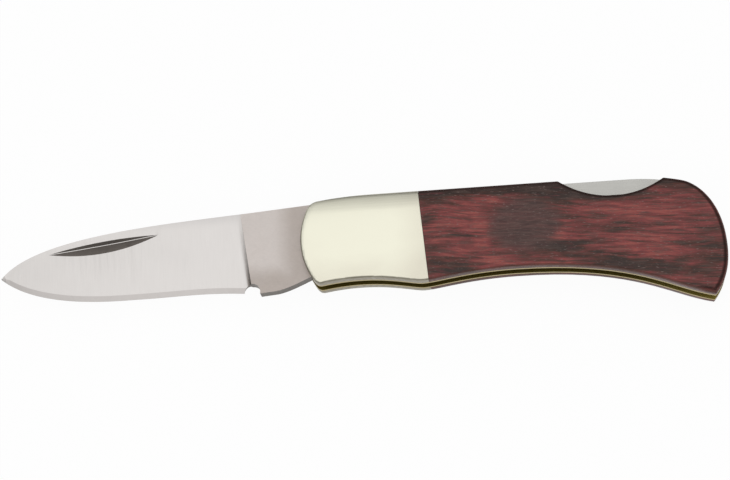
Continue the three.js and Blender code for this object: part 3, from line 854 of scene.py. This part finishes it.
def blade_finish(face):
    """Which of the blade's finishes a face has. The spine is ground as the sides are."""
    middle = face.calc_center_median() / MM
    if middle.z > MIDDLE_HEIGHT + NICK_ABOVE_MIDDLE and in_nick(middle):
        return NICK
    if middle.x > PLUNGE - PLUNGE_LENGTH:
        on_spine = face.normal.y > SPINE_NORMAL and middle.y > TANG_SPINE_FROM
        return GRIND if on_spine else TANG
    steep, flat = EDGE_NORMALS
    below = middle.y < 0 and face.normal.y < EDGE_DOWN
    return EDGE if below and steep < abs(face.normal.z) < flat else GRIND


def in_nick_bottom(edge):
    """Whether an edge is part of the nail nick's deepest line."""
    return all(
        face.material_index == NICK for face in edge.link_faces
    ) and all(
        abs(nick_place(vertex.co / MM)[1]) < NICK_BOTTOM_NEAR for vertex in edge.verts
    )


def nick_place(point):
    """A point's place in the nail nick: along it, from -1 to 1, and above its bottom in mm."""
    offset = point.to_2d() - NICK_MIDDLE
    run = offset.dot(NICK_ALONG) / (NICK_LENGTH / 2)
    return run, offset.y * NICK_ALONG.x - offset.x * NICK_ALONG.y


def in_nick(point):
    """Whether a point of the blade's face, in millimetres, lies in the nail nick's crescent."""
    run, rise = nick_place(point)
    share = 1.0 - run * run
    return share > 0 and -NICK_LOWER_WIDTH * share < rise < NICK_UPPER_WIDTH * share


class KNIFE_OT_bolsters(bpy.types.Operator):
    """Makes both bolsters: polished faces that fall to ground rims"""

    bl_idname = "knife.bolsters"
    bl_label = "Bolsters"

    def execute(self, context):
        looks = context.scene.knife_looks
        for side in ("front", "rear"):
            node = f"{side}_bolster"
            shape = joined_copy(node)
            bend_face(shape, node, looks.face_fall, looks.bolster_rim_fall)
            soften_edges(shape, looks.edge_round * BOLSTER_ROUND, PIECE_SHARP)
            finish_piece(
                f"{side}_polished_bolster", shape, [material_of(nickel_silver)],
                "handle", [node],
            )
        return {"FINISHED"}


class KNIFE_OT_scales(bpy.types.Operator):
    """Makes both scales: laminated wood with buffed faces"""

    bl_idname = "knife.scales"
    bl_label = "Scales"

    def execute(self, context):
        looks = context.scene.knife_looks
        for side in ("front", "rear"):
            node = f"{side}_scale"
            shape = joined_copy(node)
            bend_face(shape, node, looks.face_fall, looks.scale_rim_fall, rim_radius)
            soften_edges(shape, looks.edge_round, PIECE_SHARP)
            finish_piece(
                f"{side}_wood_scale", shape, [material_of(laminated_wood)],
                "handle", [node],
            )
        return {"FINISHED"}


# A face counts as level where its normal's height is over the first of these, and as a wall
# where it is under the second. The inner part of a piece's thickness stays unbent.
LEVEL_FACE = 0.9
WALL_FACE = 0.2
UNBENT_SHARE = 0.3


def bend_face(shape, node, fall, rim_fall, radius_at=None):
    """Lets a handle piece's outer face fall from its middle line to its rims.

    The fall is slight over the whole face, and steeper over a narrow rim inside the
    outline, where buffing has rounded it. The function radius_at gives the radius of the
    outermost rounding at a place. The joint of bolster and scale stays level. The mark
    named edge is 1 near the outline and 0 over the rest of the face.
    """
    low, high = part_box(node)
    cut_across(shape, 0, low.x, high.x, FACE_CELL * MM)
    cut_across(shape, 1, low.y, high.y, FACE_CELL * MM)
    shape.normal_update()
    starts, runs = outline_runs(shape)
    if radius_at:
        refine_rim(shape, starts, runs)
    outward = 1 if high.z > 2 * MIDDLE_HEIGHT * MM - NO_LENGTH else -1
    inner = low.z if outward > 0 else high.z
    depth = high.z - low.z
    edge_mark = shape.verts.layers.float.new("edge")
    for vertex in shape.verts:
        share = max(0.0, (vertex.co.z - inner) * outward / depth)
        if share < UNBENT_SHARE:
            continue
        place = vertex.co / MM
        across = (place.y - FACE_MIDDLE) / FACE_HALF
        high_up = max(0.0, (place.y - CROWN_START) / CROWN_RUN)
        nose = max(0.0, NOSE_START - place.x) / NOSE_RUN
        drop = fall * min(MOST_FALLS, across ** 2 + nose ** 2)
        drop += SPINE_FALL * MM * high_up ** 2
        away = distance_to(vertex.co, starts, runs) / MM
        drop += rim_fall * max(0.0, 1.0 - away / RIM_WIDTH) ** 2
        radius = radius_at(place) if radius_at else LEAST_RADIUS
        inside = min(1.0, max(0.0, 1.0 - away / radius))
        drop += radius * MM * (1.0 - math.sqrt(1.0 - inside ** 2))
        far = EDGE_NEAR + EDGE_PER_RADIUS * radius + EDGE_FADE
        vertex[edge_mark] = min(1.0, max(0.0, (far - away) / EDGE_FADE))
        vertex.co.z -= outward * share * drop


def refine_rim(shape, starts, runs):
    """Cuts the outer face finer near the outline, where the rounding bends it most."""
    near = set()
    for face in shape.faces:
        middle = face.calc_center_median()
        away = distance_to(middle, starts, runs)
        if abs(face.normal.z) > LEVEL_FACE and away < RIM_FINE * MM:
            near.update(face.edges)
    bmesh.ops.subdivide_edges(
        shape, edges=[edge for edge in near if edge.calc_length() > RIM_FINE_EDGE * MM],
        cuts=2, use_grid_fill=True,
    )


def rim_radius(place):
    """Radius of a scale's rounded rim at a place, in millimetres: most at the butt."""
    spine, belt, butt = RIM_RADII
    behind = min(1.0, max(0.0, (place.x - BUTT_START) / BUTT_RUN))
    below = 0.0
    if place.y < 0:
        below = min(1.0, max(0.0, (place.x - BELT_START) / BELT_RUN))
    return spine + (belt - spine) * below + (butt - max(belt * below, spine)) * behind


def outline_runs(shape):
    """Starts and runs of the outline's wall edges, seen from above, without the joint."""
    bores = [
        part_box(name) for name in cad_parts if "pin" in name or "rivet" in name
    ]
    edges = {}
    for face in shape.faces:
        middle = face.calc_center_median()
        joint = BOLSTER_JOINT * MM - JOINT_LEAN * middle.y
        near_joint = abs(middle.x - joint) < JOINT_NEAR * MM
        in_joint = near_joint and abs(face.normal.x) > LEVEL_FACE
        in_bore = any(
            low.x < middle.x < high.x and low.y < middle.y < high.y
            for low, high in ((a - BORE_EXTRA, b + BORE_EXTRA) for a, b in bores)
        )
        if abs(face.normal.z) > WALL_FACE or in_joint or in_bore:
            continue
        for edge in face.edges:
            first, second = (vertex.co.to_2d() for vertex in edge.verts)
            if (second - first).length > NO_LENGTH:
                edges[edge.index] = (first, second - first)
    starts = np.array([start for start, _ in edges.values()])
    runs = np.array([run for _, run in edges.values()])
    return starts, runs


def distance_to(point, starts, runs):
    """Distance from a point to the nearest of the runs, seen from above."""
    offset = np.array(point.to_2d()) - starts
    along = np.clip((offset * runs).sum(1) / (runs * runs).sum(1), 0.0, 1.0)
    return float(np.sqrt(((offset - runs * along[:, None]) ** 2).sum(1).min()))


class KNIFE_OT_liners(bpy.types.Operator):
    """Makes both brass liners"""

    bl_idname = "knife.liners"
    bl_label = "Liners"

    def execute(self, context):
        looks = context.scene.knife_looks
        for side in ("front", "rear"):
            shape = joined_copy(f"{side}_liner")
            soften_edges(shape, looks.edge_round * LINER_ROUND, PIECE_SHARP, segments=1)
            for face in shape.faces:
                face.material_index = 1 if abs(face.normal.z) > LEVEL_FACE else 0
            finish_piece(
                f"{side}_brass_liner", shape,
                [material_of(m) for m in (liner_brass, oiled_brass)],
                "handle", [f"{side}_liner"],
            )
        return {"FINISHED"}


# Length, in millimetres, of the slices into which the spring is cut along X.
SPRING_CELL = 0.5


class KNIFE_OT_lock(bpy.types.Operator):
    """Makes the lock bar, the spring under its tail and the spacer that holds the spring"""

    bl_idname = "knife.lock"
    bl_label = "Lock"

    def execute(self, context):
        looks = context.scene.knife_looks
        for node, name, body in (
            ("lock_bar", "ground_lock_bar", "lock_bar"),
            ("rear_spacer", "ground_rear_spacer", "handle"),
        ):
            shape = joined_copy(node)
            soften_edges(shape, looks.edge_round, PIECE_SHARP)
            finish_piece(name, shape, [material_of(bar_steel)], body, [node])
        spring = joined_copy("lock_spring")
        low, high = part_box("lock_spring")
        cut_across(spring, 0, low.x, high.x, SPRING_CELL * MM)
        mesh = bpy.data.meshes.new("lock_leaf_spring")
        spring.to_mesh(mesh)
        spring.free()
        mesh.shade_smooth()
        mesh.set_sharp_from_angle(angle=math.radians(SHADE_SHARP))
        mesh.materials.append(material_of(spring_steel))
        piece = bpy.data.objects.new("lock_leaf_spring", mesh)
        context.scene.collection.objects.link(piece)
        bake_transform(piece)
        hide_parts("lock_spring")
        return {"FINISHED"}


class KNIFE_OT_pins(bpy.types.Operator):
    """Gives the pins and rivets, which stay as the CAD model has them, their metals"""

    bl_idname = "knife.pins"
    bl_label = "Pins and rivets"

    def execute(self, context):
        for name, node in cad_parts.items():
            if "pin" in name:
                finish = material_of(bar_steel)
            elif "rivet" in name:
                finish = material_of(nickel_silver)
            else:
                continue
            node.data.materials.clear()
            node.data.materials.append(finish)
        return {"FINISHED"}


class KNIFE_OT_stage(bpy.types.Operator):
    """Makes the floor, the soft light and the camera"""

    bl_idname = "knife.stage"
    bl_label = "Floor, light and camera"

    def execute(self, context):
        stage = context.scene.knife_stage
        make_floor(stage)
        make_wall()
        make_sky(stage)
        make_camera(stage)
        context.scene.view_settings.view_transform = "Standard"
        return {"FINISHED"}


# The floor and the studio's wall, in metres, and how the wall's glow grows from its foot.
FLOOR_RADIUS = 3.0
FLOOR_BELOW = 0.02 * MM
WALL_RADIUS = 0.6
WALL_HEIGHT = 1.35
WALL_RISE = 0.6
WALL_GLOW = 0.86
WALL_FOOT_GLOW = 0.05


def make_floor(stage):
    """A wide white disc just under the knife, which keeps a faint shadow."""
    shape = bmesh.new()
    bmesh.ops.create_circle(shape, cap_ends=True, segments=96, radius=FLOOR_RADIUS)
    mesh = bpy.data.meshes.new("floor")
    shape.to_mesh(mesh)
    shape.free()
    floor = bpy.data.objects.new("floor", mesh)
    floor.location.z = -FLOOR_BELOW
    bpy.context.scene.collection.objects.link(floor)
    material = bpy.data.materials.new("white_backdrop_floor")
    material.use_nodes = True
    tree = material.node_tree
    tree.nodes.clear()
    rays = add_node(tree, "LightPath").outputs
    seen = add_node(tree, "Math", MAXIMUM, [
        add_node(tree, "Math", MAXIMUM, [rays["Is Camera Ray"], rays["Is Glossy Ray"]]),
        rays["Is Transmission Ray"],
    ])
    both = add_node(tree, "MixShader", None, [
        add_node(tree, "Math", MULTIPLY, [seen, stage.white_share]),
        add_node(tree, "BsdfDiffuse", None, {"Color": stage.floor_colour}),
        add_node(tree, "Emission", None, {"Strength": 1.0}),
    ])
    add_node(tree, "OutputMaterial", None, [both])
    mesh.materials.append(material)


def make_wall():
    """A wall all round, dark at its foot, that only reflections see, as in a studio."""
    shape = bmesh.new()
    bmesh.ops.create_cone(
        shape, cap_ends=False, segments=96, radius1=WALL_RADIUS, radius2=WALL_RADIUS,
        depth=WALL_HEIGHT,
    )
    mesh = bpy.data.meshes.new("dark_studio_wall")
    shape.to_mesh(mesh)
    shape.free()
    wall = bpy.data.objects.new("dark_studio_wall", mesh)
    wall.location.z = WALL_HEIGHT / 2
    wall.visible_camera = False
    wall.visible_diffuse = False
    wall.visible_shadow = False
    bpy.context.scene.collection.objects.link(wall)
    material = bpy.data.materials.new("dark_studio_cloth")
    material.use_nodes = True
    tree = material.node_tree
    tree.nodes.clear()
    place = add_node(tree, "TexCoord").outputs["Object"]
    height = add_node(tree, "MapRange", None, [
        add_node(tree, "SeparateXYZ", None, [place]).outputs["Z"],
        -WALL_HEIGHT / 2, WALL_HEIGHT / 2,
    ])
    rise = add_node(tree, "Math", {"operation": "POWER"}, [height, WALL_RISE])
    glow = add_node(tree, "Math", MULTIPLY_ADD, [rise, WALL_GLOW, WALL_FOOT_GLOW])
    cloth = add_node(tree, "Emission", None, {"Strength": glow})
    add_node(tree, "OutputMaterial", None, [cloth])
    mesh.materials.append(material)


# The sky's greys, from the horizon's height to overhead.
SKY_GREYS = [(0.0, "#c8c8c8"), (0.40, "#d6d6d6"), (0.75, "#f2f2f2"), (0.93, "#ffffff")]


def make_sky(stage):
    """Soft light from all round, brightest overhead, and white where the camera sees it."""
    world = bpy.data.worlds.new("studio")
    bpy.context.scene.world = world
    world.use_nodes = True
    tree = world.node_tree
    tree.nodes.clear()
    place = add_node(tree, "TexCoord").outputs["Generated"]
    height = add_node(tree, "SeparateXYZ", None, [place]).outputs["Z"]
    glow = add_node(tree, "ValToRGB", None, [height])
    stops = glow.color_ramp.elements
    while len(stops) < len(SKY_GREYS):
        stops.new(0.5)
    for stop, (position, grey) in zip(stops, SKY_GREYS):
        stop.position = position
        stop.color = linear(grey)
    seen = add_node(tree, "LightPath").outputs["Is Camera Ray"]
    sky = add_node(tree, "Background", None, {
        "Color": add_node(tree, "Mix", COLOURS, {SHARE: seen, FIRST: glow, SECOND: "#ffffff"}),
        "Strength": stage.sky_light,
    })
    add_node(tree, "OutputWorld", None, [sky])


# The photograph's view: towards the camera, up the picture, and the picture's middle in
# millimetres.
TO_CAMERA = Vector((0.0820, -0.3029, 0.9495))
PICTURE_UP = Vector((0.03968, 0.99921, 0.0))
PICTURE_MIDDLE = Vector((2.747, 0.376, 3.6))
SENSOR_WIDTH = 36.0
CLIP_RANGE = (0.01, 20.0)


def make_camera(stage):
    """A camera at the photograph's angle and distance."""
    data = bpy.data.cameras.new("camera")
    data.lens = stage.lens
    data.sensor_width = SENSOR_WIDTH
    data.sensor_fit = "HORIZONTAL"
    data.clip_start, data.clip_end = CLIP_RANGE
    camera = bpy.data.objects.new("camera", data)
    bpy.context.scene.collection.objects.link(camera)
    back = TO_CAMERA.normalized()
    right = PICTURE_UP.cross(back).normalized()
    up = back.cross(right)
    turned = Matrix((right, up, back)).transposed().to_4x4()
    spot = PICTURE_MIDDLE * MM + back * stage.camera_distance
    camera.matrix_world = Matrix.Translation(spot) @ turned
    bpy.context.scene.camera = camera


class KNIFE_PT_panel(bpy.types.Panel):
    """Lists what makes the knife"""

    bl_label = "Folding Pocket Knife"
    bl_space_type = "VIEW_3D"
    bl_region_type = "UI"
    bl_category = "Knife"

    def draw(self, context):
        for operator in OPERATORS:
            self.layout.operator(operator.bl_idname)
        for group in (context.scene.knife_looks, context.scene.knife_stage):
            for name in group.bl_rna.properties.keys():
                if name not in ("rna_type", "name"):
                    self.layout.prop(group, name)


OPERATORS = (
    KNIFE_OT_blade,
    KNIFE_OT_bolsters,
    KNIFE_OT_scales,
    KNIFE_OT_liners,
    KNIFE_OT_lock,
    KNIFE_OT_pins,
    KNIFE_OT_stage,
)
CLASSES = (KnifeLooks, KnifeStage, *OPERATORS, KNIFE_PT_panel)


def register():
    for made_class in CLASSES:
        bpy.utils.register_class(made_class)
    bpy.types.Scene.knife_looks = bpy.props.PointerProperty(type=KnifeLooks)
    bpy.types.Scene.knife_stage = bpy.props.PointerProperty(type=KnifeStage)


def unregister():
    del bpy.types.Scene.knife_looks
    del bpy.types.Scene.knife_stage
    for made_class in reversed(CLASSES):
        bpy.utils.unregister_class(made_class)


def main():
    """Makes the knife and its stage."""
    register()
    bpy.ops.knife.blade()
    bpy.ops.knife.bolsters()
    bpy.ops.knife.scales()
    bpy.ops.knife.liners()
    bpy.ops.knife.lock()
    bpy.ops.knife.pins()
    bpy.ops.knife.stage()


if __name__ == "__main__":
    main()
